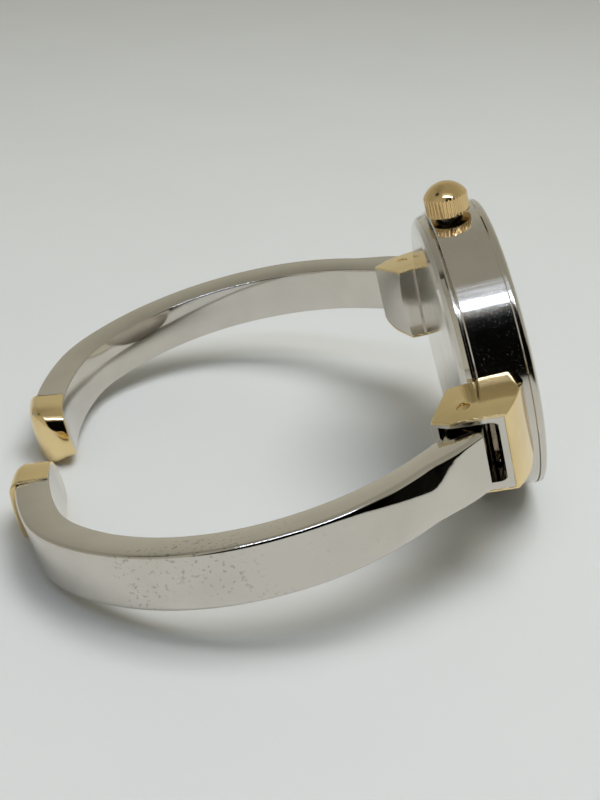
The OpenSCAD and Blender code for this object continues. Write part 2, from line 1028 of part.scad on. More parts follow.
module lug_block_12() {
    color("silver")
        side_12()
            lug_block();
}

module lug_block_6() {
    color("silver")
        side_6()
            lug_block();
}

module lug_hood_12() {
    color("gold")
        side_12()
            lug_hood();
}

module lug_hood_6() {
    color("gold")
        side_6()
            lug_hood();
}

module hinge_pin_12() {
    color("gold")
        side_12()
            hinge_pin();
}

module hinge_pin_6() {
    color("gold")
        side_6()
            hinge_pin();
}

module hinge_spring_12() {
    color("gray")
        side_12()
            hinge_spring();
}

module hinge_spring_6() {
    color("gray")
        side_6()
            hinge_spring();
}

module arm_12() {
    color("silver")
        side_12()
            arm(-tip_extra);
}

module arm_6() {
    color("silver")
        side_6()
            arm(tip_extra);
}

module end_cap_12() {
    color("gold")
        side_12()
            end_cap(-tip_extra);
}

module end_cap_6() {
    color("gold")
        side_6()
            end_cap(tip_extra);
}

case_body();
bezel();
crystal();
crystal_gasket();
flange_ring();
dial();
hour_markers();
hour_hand();
minute_hand();
hour_wheel();
centre_wheel();
minute_wheel();
setting_wheel();
third_wheel();
intermediate_wheel();
rotor();
stator();
coil();
main_plate();
train_bridge();
circuit_board();
quartz_can();
battery();
battery_clip();
movement_screws();
movement_ring();
sliding_pinion();
winding_stem();
setting_lever();
crown();
crown_gasket();
case_tube();
case_back();
back_gasket();
lug_block_12();
lug_block_6();
lug_hood_12();
lug_hood_6();
hinge_pin_12();
hinge_pin_6();
hinge_spring_12();
hinge_spring_6();
arm_12();
arm_6();
end_cap_12();
end_cap_6();
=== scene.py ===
"""Dresses the cuff watch: a round watch head between two sprung, gold-tipped arms."""

import logging
import math
from dataclasses import dataclass
from enum import Enum
from typing import Iterable, Mapping, Sequence

import bmesh
import bpy
from mathutils import Matrix, Vector

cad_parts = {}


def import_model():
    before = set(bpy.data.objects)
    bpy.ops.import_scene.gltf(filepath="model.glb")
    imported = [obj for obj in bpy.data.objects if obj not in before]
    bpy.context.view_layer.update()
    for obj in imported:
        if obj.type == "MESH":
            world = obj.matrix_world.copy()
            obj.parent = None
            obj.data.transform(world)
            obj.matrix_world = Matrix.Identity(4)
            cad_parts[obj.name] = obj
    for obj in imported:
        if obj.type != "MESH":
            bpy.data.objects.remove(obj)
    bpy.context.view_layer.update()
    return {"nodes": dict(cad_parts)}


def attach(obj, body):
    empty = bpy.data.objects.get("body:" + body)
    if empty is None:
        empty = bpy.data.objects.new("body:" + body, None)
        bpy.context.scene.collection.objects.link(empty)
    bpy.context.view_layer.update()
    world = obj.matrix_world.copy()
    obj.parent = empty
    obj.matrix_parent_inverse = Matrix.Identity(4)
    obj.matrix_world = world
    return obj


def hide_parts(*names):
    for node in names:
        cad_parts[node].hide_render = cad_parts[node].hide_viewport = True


logging.basicConfig(level=logging.INFO, format="%(message)s")
LOG = logging.getLogger("cuff_watch")
MM = 0.001
# places of a Mix node's colours: its two inputs and its output
MIX_A, MIX_B, MIXED = 6, 7, 2
# places of a Mix node's plain numbers
NUMBER_A, NUMBER_B = 2, 3

Colour = tuple[float, float, float, float]
Place = tuple[float, float, float]
Nodes = bpy.types.Nodes
Node = bpy.types.Node
Socket = bpy.types.NodeSocket
Source = Node | Socket
Shape = bmesh.types.BMesh
Vert = bmesh.types.BMVert
Edge = bmesh.types.BMEdge
Ring = tuple[Matrix, list[Vert]]


def srgb(code: str) -> Colour:
    """Turns an sRGB hex colour to the linear colour that a socket wants.

    Args:
        code: Six hex digits.

    Returns:
        Linear red, green, blue and an alpha of 1.
    """
    parts = [int(code[i : i + 2], 16) / 255 for i in (0, 2, 4)]
    line = [p / 12.92 if p <= 0.04045 else ((p + 0.055) / 1.055) ** 2.4 for p in parts]
    return (line[0], line[1], line[2], 1.0)


def grey(level: float) -> Colour:
    """A neutral linear colour of one level."""
    return (level, level, level, 1.0)


def per(size: float) -> float:
    """The scale at which a noise has marks of this size in mm."""
    return 1 / (size * MM)


def link(source: Source, target: Socket) -> None:
    """Links a socket, or the first output of a node, to an input."""
    socket = source.outputs[0] if isinstance(source, Node) else source
    target.id_data.links.new(socket, target)


def add(
    nodes: Nodes,
    kind: str,
    values: Mapping[str | int, object] | None = None,
    links: Mapping[str | int, Source] | None = None,
) -> Node:
    """Adds a shader node with its settings and its incoming links.

    Args:
        nodes: The node list of a tree.
        kind: Type of the node, without the leading word ShaderNode.
        values: Settings of the node and values of its inputs, by name or place. The name
            stops gives the places and levels or colours of a colour ramp.
        links: What feeds its inputs, by name or place.

    Returns:
        The new node.
    """
    made = nodes.new("ShaderNode" + kind)
    for key, value in (values or {}).items():
        if key == "stops":
            bar = made.color_ramp.elements
            while len(bar) < len(value):
                bar.new(0.5)
            for stop, (place, level) in zip(bar, value):
                stop.position = place
                stop.color = level if isinstance(level, tuple) else grey(level)
        elif isinstance(key, str) and hasattr(made, key):
            setattr(made, key, value)
        else:
            made.inputs[key].default_value = value
    for key, source in (links or {}).items():
        link(source, made.inputs[key])
    return made


# finishes of the object


@dataclass(frozen=True)
class Surface:
    """A material in the making: its nodes, its Principled BSDF and Object coordinates."""

    nodes: Nodes
    shader: Node
    where: Socket

    def feed(self, name: str, source: Source) -> None:
        """Links a source to one of the shader's inputs."""
        link(source, self.shader.inputs[name])


@dataclass(frozen=True)
class Finish:
    """A material of the object, named for what the real one is."""

    name: str
    colour: str
    metallic: float = 0.0
    roughness: float = 0.4

    def build(self) -> bpy.types.Material:
        """Makes the material.

        Returns:
            The material, made once and then shared.
        """
        known = bpy.data.materials.get(self.name)
        if known:
            return known
        made = bpy.data.materials.new(self.name)
        made.use_nodes = True
        made.diffuse_color = srgb(self.colour)
        nodes = made.node_tree.nodes
        shader = nodes["Principled BSDF"]
        shader.inputs["Base Color"].default_value = srgb(self.colour)
        shader.inputs["Metallic"].default_value = self.metallic
        shader.inputs["Roughness"].default_value = self.roughness
        self.dress(Surface(nodes, shader, add(nodes, "TexCoord").outputs["Object"]))
        return made

    def dress(self, skin: Surface) -> None:
        """Adds the marks that the finish has.

        Args:
            skin: The material in the making.
        """


@dataclass(frozen=True)
class PolishedMetal(Finish):
    """Metal polished to a mirror and then worn: round edges, hairlines, smudges and pits."""

    # radius of the buffed edges in mm
    edge: float = 0.12
    # what smudges, hairlines and pits add to the roughness
    smudge: float = 0.05
    scuff: float = 0.1
    etch: float = 0.3
    # height of a hairline in the relief of the pits
    hairline: float = 0.02
    # share of the tarnish's colour in a pit and in the film
    pits: float = 0.4
    stain: float = 0.1
    tarnish: str = "8d8578"
    # the place round which pits stand thickest, on the outer face of the arm at twelve
    pitted: Place = (-0.0118, -0.0312, 0.0075)

    def dress(self, skin: Surface) -> None:
        """Clouds and dulls the polish, and draws its lines, pits and round edges.

        Args:
            skin: The material in the making.
        """
        nodes = skin.nodes
        pit, lines = self.pitting(skin), self.hairlines(skin)
        # finger smudges some 4 mm across cloud the polish
        smudges = add(nodes, "TexNoise", {"Scale": per(4.167), "Detail": 4.0, "Roughness": 0.55},
                      {"Vector": skin.where})
        rough = add(nodes, "MapRange", {
            "From Min": 0.35, "From Max": 0.75, "To Min": self.roughness,
            "To Max": self.roughness + self.smudge}, {"Value": smudges})
        rough = add(nodes, "Math", {"operation": "MULTIPLY_ADD", 1: self.etch}, {0: pit, 2: rough})
        rough = add(nodes, "Math", {"operation": "MULTIPLY_ADD", 1: self.scuff}, {0: lines, 2: rough})
        skin.feed("Roughness", rough)
        # a thin film 6 mm across in places dulls the colour
        film = add(nodes, "TexNoise", {"Scale": per(6.25), "Detail": 3.0, "Distortion": 0.6},
                   {"Vector": skin.where})
        film = add(nodes, "ValToRGB", {"stops": [(0.42, 0.0), (0.68, self.stain)]}, {"Fac": film})
        dull = add(nodes, "Math", {"operation": "MAXIMUM"}, {0: pit, 1: film})
        tone = add(nodes, "Mix", {
            "data_type": "RGBA", MIX_A: srgb(self.colour), MIX_B: srgb(self.tarnish)}, {0: dull})
        skin.feed("Base Color", tone.outputs[MIXED])
        # buffing rounds every edge a little, and the marks are a hundredth of a millimetre deep
        worn = add(nodes, "Bevel", {"samples": 6, "Radius": self.edge * MM})
        deep = add(nodes, "Math", {"operation": "MULTIPLY_ADD", 1: -self.hairline}, {0: lines, 2: pit})
        bump = add(nodes, "Bump", {"Strength": 0.2, "Distance": 0.01 * MM, "invert": True},
                   {"Height": deep, "Normal": worn})
        skin.feed("Normal", bump)

    def hairlines(self, skin: Surface) -> Node:
        """Draws hairlines from wearing in two directions, a little coarser than life.

        Args:
            skin: The material in the making.

        Returns:
            The ramp that is 1 on a line.
        """
        runs = []
        # grain of 0.1 mm, drawn out to 3 mm along the line
        for turn, grain in (((0.5, 0.9, 0.3), 0.11111), ((-0.4, 0.3, 1.4), 0.125)):
            turned = add(skin.nodes, "Mapping", {"Rotation": turn, "Scale": (1.0, 0.035, 1.0)},
                         {"Vector": skin.where})
            noise = {"Scale": per(grain), "Detail": 2.0}
            runs.append(add(skin.nodes, "TexNoise", noise, {"Vector": turned}))
        both = add(skin.nodes, "Math", {"operation": "MAXIMUM"}, {0: runs[0], 1: runs[1]})
        return add(skin.nodes, "ValToRGB", {"stops": [(0.61, 0.0), (0.78, 1.0)]}, {"Fac": both})

    def pitting(self, skin: Surface) -> Node:
        """Strews ragged pits 0.2 to 0.5 mm across that stand in patches.

        Args:
            skin: The material in the making.

        Returns:
            The node that gives the share of the tarnish in a pit, and 0 beside it.
        """
        nodes = skin.nodes
        spot = add(nodes, "TexNoise", {"Scale": per(0.4762), "Detail": 1.0}, {"Vector": skin.where})
        spot = add(nodes, "ValToRGB", {"stops": [(0.585, 0.0), (0.7, 1.0)]}, {"Fac": spot})
        # patches of 13 mm, most of all within 11 mm of one place on the arm
        patch = add(nodes, "TexNoise", {"Scale": per(13.333), "Detail": 2.0}, {"Vector": skin.where})
        away = add(nodes, "VectorMath", {"operation": "SUBTRACT", 1: self.pitted}, {0: skin.where})
        away = add(nodes, "VectorMath", {"operation": "MULTIPLY", 1: (0.9, 2.4, 1.0)}, {0: away})
        away = add(nodes, "VectorMath", {"operation": "LENGTH"}, {0: away})
        thick = add(nodes, "MapRange", {
            "From Min": 5 * MM, "From Max": 12.5 * MM, "To Min": 0.18, "To Max": -0.13},
            {"Value": away.outputs["Value"]})
        patch = add(nodes, "Math", {"operation": "ADD"}, {0: patch, 1: thick})
        patch = add(nodes, "ValToRGB", {"stops": [(0.48, 0.0), (0.62, 1.0)]}, {"Fac": patch})
        pit = add(nodes, "Math", {"operation": "MULTIPLY"}, {0: spot, 1: patch})
        return add(nodes, "Math", {"operation": "MULTIPLY", 1: self.pits}, {0: pit})


@dataclass(frozen=True)
class Grained(Finish):
    """A surface with a fine even grain, such as moulded plastic, rubber or lacquer."""

    grain: float = 0.1
    depth: float = 0.1
    spread: float = 0.07

    def dress(self, skin: Surface) -> None:
        """Breaks the gloss and the surface up with a grain of its size in mm.

        Args:
            skin: The material in the making.
        """
        nodes = skin.nodes
        noise = add(nodes, "TexNoise", {"Scale": per(self.grain), "Detail": 3.0}, {"Vector": skin.where})
        rough = add(nodes, "MapRange", {
            "From Min": 0.3, "From Max": 0.7, "To Min": self.roughness - self.spread,
            "To Max": self.roughness + self.spread}, {"Value": noise})
        skin.feed("Roughness", rough)
        bump = add(nodes, "Bump", {"Strength": self.depth, "Distance": 0.02 * MM}, {"Height": noise})
        skin.feed("Normal", bump)


@dataclass(frozen=True)
class Sunray(Finish):
    """Lacquer over metal brushed in rays from the middle of the dial."""

    centre: Place = (0.023912, 0.0, 0.016562)
    shade: str = "e2ded3"
    # marks to a radian: rays half a degree wide, or 0.12 mm at the edge of the dial
    rays: float = 110.0
    spread: float = 0.08

    def dress(self, skin: Surface) -> None:
        """Draws the rays in the gloss and, faintly, in the colour.

        Args:
            skin: The material in the making.
        """
        nodes = skin.nodes
        away = add(nodes, "VectorMath", {"operation": "SUBTRACT", 1: self.centre}, {0: skin.where})
        way = add(nodes, "VectorMath", {"operation": "NORMALIZE"}, {0: away})
        rays = add(nodes, "TexNoise", {"Scale": self.rays, "Detail": 3.0, "Roughness": 0.6},
                   {"Vector": way})
        rough = add(nodes, "MapRange", {
            "From Min": 0.3, "From Max": 0.7, "To Min": self.roughness - self.spread,
            "To Max": self.roughness + self.spread}, {"Value": rays})
        skin.feed("Roughness", rough)
        part = add(nodes, "ValToRGB", {"stops": [(0.35, 0.0), (0.65, 1.0)]}, {"Fac": rays})
        tone = add(nodes, "Mix", {
            "data_type": "RGBA", MIX_A: srgb(self.colour), MIX_B: srgb(self.shade)}, {0: part})
        skin.feed("Base Color", tone.outputs[MIXED])


@dataclass(frozen=True)
class Clear(Finish):
    """Clear ground glass with a faint film of dust."""

    bend: float = 1.52
    dust: float = 0.05

    def dress(self, skin: Surface) -> None:
        """Makes the glass clear and lays a film of dust with marks 3 mm across on it.

        Args:
            skin: The material in the making.
        """
        skin.shader.inputs["Transmission Weight"].default_value = 1.0
        skin.shader.inputs["IOR"].default_value = self.bend
        film = add(skin.nodes, "TexNoise", {"Scale": per(3.333), "Detail": 4.0}, {"Vector": skin.where})
        rough = add(skin.nodes, "MapRange", {
            "From Min": 0.45, "From Max": 0.8, "To Min": 0.0, "To Max": self.dust}, {"Value": film})
        skin.feed("Roughness", rough)


@dataclass(frozen=True)
class Card(Finish):
    """The pale card under the watch, with a faint mottle."""

    mottle: str = "d3d4d1"

    def dress(self, skin: Surface) -> None:
        """Mixes the two shades of the card in clouds 33 mm across.

        Args:
            skin: The material in the making.
        """
        cloud = add(skin.nodes, "TexNoise", {"Scale": per(33.333), "Detail": 3.0}, {"Vector": skin.where})
        tone = add(skin.nodes, "Mix", {
            "data_type": "RGBA", MIX_A: srgb(self.colour), MIX_B: srgb(self.mottle)}, {0: cloud})
        skin.feed("Base Color", tone.outputs[MIXED])


class Finishes(Enum):
    """Every finish of the object and the record's slot that it stands for."""

    # 316 steel, lapped and buffed: mirror bright and neutral, with smudges and hairlines
    POLISHED_STEEL = (
        PolishedMetal("lapped_steel", "d6d0c6", metallic=1.0, roughness=0.055, edge=0.07, smudge=0.1,
                      hairline=0.15, scuff=0.22, pits=0.2),
        "polished_steel",
    )
    # the same steel on the arms: mirror bright and pitted by wear
    WORN_STEEL = (
        PolishedMetal("worn_steel", "d6d0c6", metallic=1.0, roughness=0.03, edge=0.07, pits=0.5,
                      tarnish="8a857b"),
        "polished_steel",
    )
    # gold plate over brass: mirror bright pale yellow, tarnished brown in places
    GOLD_PLATE = (
        PolishedMetal("gold_plate", "f5dca6", metallic=1.0, roughness=0.04, edge=0.24, stain=0.16,
                      tarnish="94602a"),
        "gold_plating",
    )
    # the same plate on the fine flutes of the crown: painted a little deeper in colour, with darker
    # tarnish, as painted shade between the flutes
    CROWN_PLATE = (
        PolishedMetal("crown_plate", "f2d49c", metallic=1.0, roughness=0.05, edge=0.03, stain=0.2,
                      tarnish="8a5220"),
        "gold_plating",
    )
    # mineral glass, ground and polished: clear, with a little dust
    GLASS = (Clear("mineral_glass", "fbfdfd", roughness=0.0), "crystal_glass")
    # nitrile rubber, moulded: matt black
    NITRILE = (Grained("nitrile_rubber", "17181a", roughness=0.6), "gasket_rubber")
    # natural nylon, moulded: milky and satin
    CLEAR_GASKET = (Grained("moulded_nylon", "d9dcdc", roughness=0.45), "clear_gasket")
    # clear lacquer over sunray brushing: pale silver with soft rays
    LACQUER = (Sunray("sunray_lacquer", "efece4", metallic=0.25, roughness=0.36), "dial_lacquer")
    # sprayed lacquer: even, pale and satin
    SATIN_LACQUER = (
        Grained("satin_lacquer", "eae7de", roughness=0.35, grain=0.05, depth=0.05), "dial_lacquer")
    # pad-printed ink: matt and nearly black
    INK = (
        Grained("printed_ink", "3a3733", roughness=0.45, grain=0.05, depth=0.02), "dial_lacquer")
    # gilt brass, cut bright: glossy warm yellow
    GILT = (
        Grained("gilt_brass", "e0b564", metallic=1.0, roughness=0.16, grain=0.2, depth=0.03),
        "gilt_hands",
    )
    # rolled brass: satin yellow
    BRASS = (Grained("rolled_brass", "c79f55", metallic=1.0, roughness=0.3, grain=0.08), "wheel_brass")
    # stamped and tumbled steel: satin grey
    SATIN_STEEL = (
        Grained("satin_steel", "a9a9a8", metallic=1.0, roughness=0.3, grain=0.08), "plain_steel")
    # drawn spring wire: darker grey
    SPRING = (Grained("drawn_spring_wire", "8b8b8a", metallic=1.0, roughness=0.28), "spring_steel")
    # enamelled copper wire: glossy orange brown, ribbed by its turns
    COPPER = (
        Grained("enamelled_copper_wire", "b4642f", metallic=1.0, roughness=0.3, grain=0.05, depth=0.3),
        "coil_copper",
    )
    # glass and epoxy laminate: satin green
    BOARD = (Grained("glass_epoxy_board", "1f5a3a", roughness=0.4), "board_green")
    # acetal, moulded: even off-white
    HOLDER = (Grained("moulded_acetal", "e6e5df", roughness=0.5), "holder_plastic")

    @property
    def finish(self) -> Finish:
        """The finish itself."""
        return self.value[0]

    @property
    def slot(self) -> str:
        """The record's material slot."""
        return self.value[1]


# frames that the pieces are built in


@dataclass(frozen=True)
class Rest:
    """How the watch lies on the floor, on its rim and on both end caps: degrees and mm."""

    tilt: float = 14.303
    ahead: float = 21.199
    lift: float = 15.86968

    def watch(self) -> Matrix:
        """From the watch frame in mm to the floor in metres."""
        turn = Matrix.Rotation(math.radians(-self.tilt), 4, "Y")
        return Matrix.Scale(MM, 4) @ Matrix.Translation((self.ahead, 0, self.lift)) @ turn

    def dial(self) -> Matrix:
        """From a frame with the dial facing up, x to three and y to twelve."""
        return self.watch() @ Matrix(((0, 0, 1, 0), (0, -1, 0, 0), (1, 0, 0, 0), (0, 0, 0, 1)))


class Side(Enum):
    """The two sides of the cuff, by the hour they stand at."""

    TWELVE = "12"
    SIX = "6"

    @property
    def sign(self) -> int:
        """Which way this side lies across the watch."""
        return -1 if self is Side.TWELVE else 1

    def frame(self, rest: Rest) -> Matrix:
        """From the plan frame of this arm: u backwards, v outwards."""
        return rest.watch() @ Matrix.Diagonal((-1, self.sign, 1, 1))


# work at the bench, shared by the pieces


def only(kind: type, geometry: Iterable) -> list:
    """The vertices or the edges in a list of both."""
    return [g for g in geometry if isinstance(g, kind)]


def settle(
    shape: Shape,
    name: str,
    place: Matrix,
    finish: Finishes,
    body: str,
    stands_for: Iterable[str] = (),
    crease: float = 32.0,
) -> bpy.types.Object:
    """Turns a finished bmesh to a piece of the object.

    Args:
        shape: The bmesh, in mm in a frame of its own. It is freed.
        name: Name of the piece.
        place: From that frame to the floor in metres.
        finish: Its finish.
        body: The CAD body that carries it.
        stands_for: CAD nodes that it replaces.
        crease: Edges sharper than this many degrees stay crisp.

    Returns:
        The piece.
    """
    bmesh.ops.transform(shape, matrix=place, verts=shape.verts)
    bmesh.ops.remove_doubles(shape, verts=shape.verts, dist=0.0002 * MM)
    bmesh.ops.recalc_face_normals(shape, faces=shape.faces)
    mesh = bpy.data.meshes.new(name)
    shape.to_mesh(mesh)
    shape.free()
    mesh.polygons.foreach_set("use_smooth", [True] * len(mesh.polygons))
    mesh.set_sharp_from_angle(angle=math.radians(crease))
    mesh.materials.append(finish.finish.build())
    piece = bpy.data.objects.new(name, mesh)
    bpy.context.scene.collection.objects.link(piece)
    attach(piece, body)
    if stands_for:
        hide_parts(*stands_for)
    LOG.info("%s: %d faces on %s", name, len(mesh.polygons), body)
    return piece


def chain(shape: Shape, points: Sequence[Place]) -> list[Vert | Edge]:
    """Joins a few points to a closed ring.

    Args:
        shape: The bmesh that takes them.
        points: Their places in order.

    Returns:
        The new vertices and edges.
    """
    verts = [shape.verts.new(p) for p in points]
    return verts + [shape.edges.new(p) for p in zip(verts, verts[1:] + verts[:1])]


def outline(shape: Shape, corners: Sequence[Place]) -> list[Vert | Edge]:
    """Draws a closed outline with round corners in the XZ plane.

    Args:
        shape: The bmesh that takes it.
        corners: Across, up and radius of each corner.

    Returns:
        Vertices and edges of the outline.
    """
    ring = chain(shape, [(x, 0.0, z) for x, z, _ in corners])
    bmesh.ops.contextual_create(shape, geom=ring)
    for vert, (_, _, radius) in zip(only(Vert, ring), corners):
        bmesh.ops.bevel(shape, geom=[vert], offset=radius, affect="VERTICES", profile=0.5, material=-1,
                        segments=max(3, round(radius * 9)), clamp_overlap=True)
    face = shape.faces[:][0]
    verts, edges = face.verts[:], face.edges[:]
    bmesh.ops.delete(shape, geom=[face], context="FACES_ONLY")
    return verts + edges


def drag(shape: Shape, loop: Iterable, frames: Sequence[Matrix]) -> list[Ring]:
    """Drags a closed loop through a row of frames and skins it.

    Args:
        shape: The bmesh of the loop.
        loop: Vertices and edges of the loop, which lies in the XZ plane of the first frame.
        frames: Frame of each ring.

    Returns:
        Each ring's frame and vertices.
    """
    first = edges = only(Edge, loop)
    verts = list(dict.fromkeys(v for e in edges for v in e.verts))
    bmesh.ops.transform(shape, matrix=frames[0], verts=verts)
    rings = [(frames[0], verts)]
    for before, after in zip(frames, frames[1:]):
        moved = bmesh.ops.extrude_edge_only(shape, edges=edges)["geom"]
        verts = only(Vert, moved)
        known = set(verts)
        edges = [e for e in only(Edge, moved) if all(v in known for v in e.verts)]
        bmesh.ops.transform(shape, matrix=after @ before.inverted(), verts=verts)
        rings.append((after, verts))
    bmesh.ops.contextual_create(shape, geom=first)
    bmesh.ops.contextual_create(shape, geom=edges)
    return rings


def soft_min(a: float, b: float, blend: float) -> float:
    """The smaller of two lengths, with a round transition."""
    near = max(blend - abs(a - b), 0.0) / blend
    return min(a, b) - near * near * blend / 4


def leg(radius: float, off: float) -> float:
    """How far a circle reaches at this distance from its middle."""
    return math.sqrt(max(0.0, radius**2 - off**2))


# pieces of the watch


@dataclass
class Arm:
    """One arm of the cuff: a bar bent along four arcs, with a tongue in the lug.

    Sizes are in mm and degrees, in the plan frame of the arm: u backwards from the dial,
    v outwards from the middle of the watch.
    """

    side: Side
    rest: Rest
    # section of the bar: outer height, height lost at each inner edge, thickness, rounding of
    # its outer and inner edges, and rows of vertices on its outer face
    high: float = 6.45
    slope: float = 0.45
    thick: float = 3.65
    edge_round: float = 0.45
    inner_round: float = 0.2
    rows: int = 22
    # widest point, then the radius of each arc and the direction of the bar where it begins
    wide_u: float = 25.2
    wide_v: float = 30.85
    front_r: float = 29.0
    lug_angle: float = 35.4
    rear_r: float = 25.6
    corner_from: float = 47.8
    corner_r: float = 14.0
    tip_from: float = 71.0
    tip_r: float = 32.0
    # direction at the end: the arm at six reaches further round than the arm at twelve
    tip_angle: float = 91.0
    tip_extra: float = 2.15
    # rings of the skin: in the lug, along the arcs and at the end
    lug_rings: tuple[float, ...] = (5.3, 4.2, 3.1, 2.0, 1.0)
    ring_angle: float = 1.2
    fewest_rings: int = 6
    end_rings: tuple[float, ...] = (0.0, 0.3, 0.6, 0.9, 1.2, 1.45, 1.65, 1.8, 1.92, 2.02, 2.09, 2.13)
    # dome of the end and round outer corner: radius, and place along and up or across
    dome: float = 4.55
    dome_at: tuple[float, float] = (-2.4, -0.5)
    corner: float = 3.75
    corner_at: tuple[float, float] = (-1.6, -1.375)
    # lean of the outer face's edges: slope, greatest height, soft start, and how deep behind
    # the face it is felt in full
    lean: float = 0.29
    lean_deep: float = 2.7
    lean_soft: float = 0.5
    lean_band: float = 0.7
    # where along u it starts, is highest and ends, and how fast it fades
    lean_from: float = 5.5
    lean_full: float = 9.5
    lean_to: float = 25.0
    lean_fade: float = 1.6
    # tongue on the hinge pin: its corners in plan and how much lower than the bar it is
    tongue_plan: tuple[tuple[float, float], ...] = (
        (3.16, 23.7), (2.15, 19.8), (3.85, 18.3), (5.55, 19.7), (6.2, 21.75), (7.0, 23.4), (5.0, 24.0))
    tongue_drop: float = 0.35

    @staticmethod
    def ray(degrees: float) -> Vector:
        """Unit vector at an angle in plan."""
        return Vector((math.cos(math.radians(degrees)), math.sin(math.radians(degrees)), 0))

    @staticmethod
    def frame(place: Vector, out: Vector) -> Matrix:
        """Frame at a place of the bar, x outwards and z up."""
        up = Vector((0, 0, 1))
        return Matrix.Translation(place) @ Matrix((out, up.cross(out), up)).transposed().to_4x4()

    def arcs(self) -> list[tuple[Vector, float, float, float]]:
        """Works out the arcs of the bar.

        Returns:
            Centre, radius and first and last angle of each arc, from lug to tip.
        """
        wide = Vector((self.wide_u, self.wide_v, 0))
        front = wide - Vector((0, self.front_r, 0))
        rear = wide - Vector((0, self.rear_r, 0))
        bend = rear + self.ray(90 - self.corner_from) * (self.rear_r - self.corner_r)
        last = bend + self.ray(90 - self.tip_from) * (self.corner_r - self.tip_r)
        end = self.tip_angle + self.side.sign * self.tip_extra
        return [
            (front, self.front_r, 90 + self.lug_angle, 90),
            (rear, self.rear_r, 90, 90 - self.corner_from),
            (bend, self.corner_r, 90 - self.corner_from, 90 - self.tip_from),
            (last, self.tip_r, 90 - self.tip_from, 90 - end),
        ]

    def past_tip(self, ways: Iterable[float]) -> list[Matrix]:
        """Sets up frames beyond the end of the arcs.

        Args:
            ways: How far each stands beyond the end.

        Returns:
            The frames.
        """
        centre, radius, _, angle = self.arcs()[-1]
        out = self.ray(angle)
        middle, along = centre + out * radius, Vector((out.y, -out.x, 0))
        return [self.frame(middle + along * way, out) for way in ways]

    def way(self) -> list[Matrix]:
        """Sets up frames along the middle of the bar.

        Returns:
            The frames, from inside the lug to the last arc's end.
        """
        arcs = self.arcs()
        out = self.ray(arcs[0][2])
        start, along = arcs[0][0] + out * self.front_r, Vector((out.y, -out.x, 0))
        frames = [self.frame(start - along * back, out) for back in self.lug_rings]
        for centre, radius, first, last in arcs:
            steps = max(self.fewest_rings, round(abs(last - first) / self.ring_angle))
            for k in range(steps):
                out = self.ray(first + (last - first) * k / steps)
                frames.append(self.frame(centre + out * radius, out))
        return frames

    def build(self) -> None:
        """Makes the arm and lays it over its CAD node."""
        shape = bmesh.new()
        half, low, top = self.thick / 2, self.high / 2 - self.slope, self.high / 2
        loop = outline(shape, [(-half, -low, self.inner_round), (half, -top, self.edge_round),
                               (half, top, self.edge_round), (-half, low, self.inner_round)])
        tall = [e for e in only(Edge, loop) if all(abs(v.co.x - half) < 1e-4 for v in e.verts)]
        split = bmesh.ops.subdivide_edges(shape, edges=tall, cuts=self.rows)["geom_split"]
        loop = dict.fromkeys(g for g in [*loop, *split] if g.is_valid)
        rings = drag(shape, loop, self.way() + self.past_tip(self.end_rings))
        last = len(self.end_rings)
        self.lean_in(rings[:-last])
        self.round_end(rings[-last:])
        self.tongue(shape)
        node = f"arm_{self.side.value}"
        settle(shape, f"bar_{self.side.value}", self.side.frame(self.rest), Finishes.WORN_STEEL,
               node, [node], crease=50.0)

    def lean_in(self, rings: Sequence[Ring]) -> None:
        """Leans the edges of the outer face in towards the lug, as polishing left them.

        Args:
            rings: Frame and vertices of each ring.
        """
        for place, verts in rings:
            u = place.translation.x
            if not self.lean_from < u < self.lean_to:
                continue
            if u < self.lean_full:
                share = (u - self.lean_from) / (self.lean_full - self.lean_from)
            else:
                share = ((self.lean_to - u) / (self.lean_to - self.lean_full)) ** self.lean_fade
            deep = self.lean_deep * share
            soft = min(self.lean_soft, deep)
            band = self.thick / 2 - self.lean_band
            out, back = place.to_3x3() @ Vector((1, 0, 0)), place.inverted()
            for vert in verts:
                across, _, up = back @ vert.co
                into = abs(up) - (self.high / 2 - deep)
                if across < 0 or into <= 0:
                    continue
                pull = into * into / (2 * soft) if into < soft else into - soft / 2
                vert.co -= out * self.lean * pull * min(1.0, across / band)

    def round_end(self, rings: Sequence[Ring]) -> None:
        """Draws the end of the bar in to the dome that sits in the cap.

        Args:
            rings: Frame and vertices of each ring at the end.
        """
        top, half = self.high / 2, self.thick / 2
        middle = self.dome_at[1]
        for along, (place, verts) in zip(self.end_rings, rings):
            tall = leg(self.dome, along - self.dome_at[0])
            wide = self.corner_at[1] + leg(self.corner, along - self.corner_at[0])
            back = place.inverted()
            for vert in verts:
                across, _, up = back @ vert.co
                rise = up - middle
                rise *= min(1.0, tall / (top - middle if rise > 0 else top + middle))
                across = -half + (across + half) * min(1.0, (wide + half) / self.thick)
                vert.co = place @ Vector((across, 0, middle + rise))

    def tongue(self, shape: Shape) -> None:
        """Adds the flat end of the arm that turns on the hinge pin.

        Args:
            shape: The bmesh of the arm.
        """
        low = self.tongue_drop - self.high / 2
        ring = chain(shape, [(u, v, low) for u, v in self.tongue_plan])
        face = bmesh.ops.contextual_create(shape, geom=ring)["faces"]
        raised = bmesh.ops.extrude_face_region(shape, geom=face)["geom"]
        bmesh.ops.translate(shape, verts=only(Vert, raised), vec=(0, 0, -2 * low))


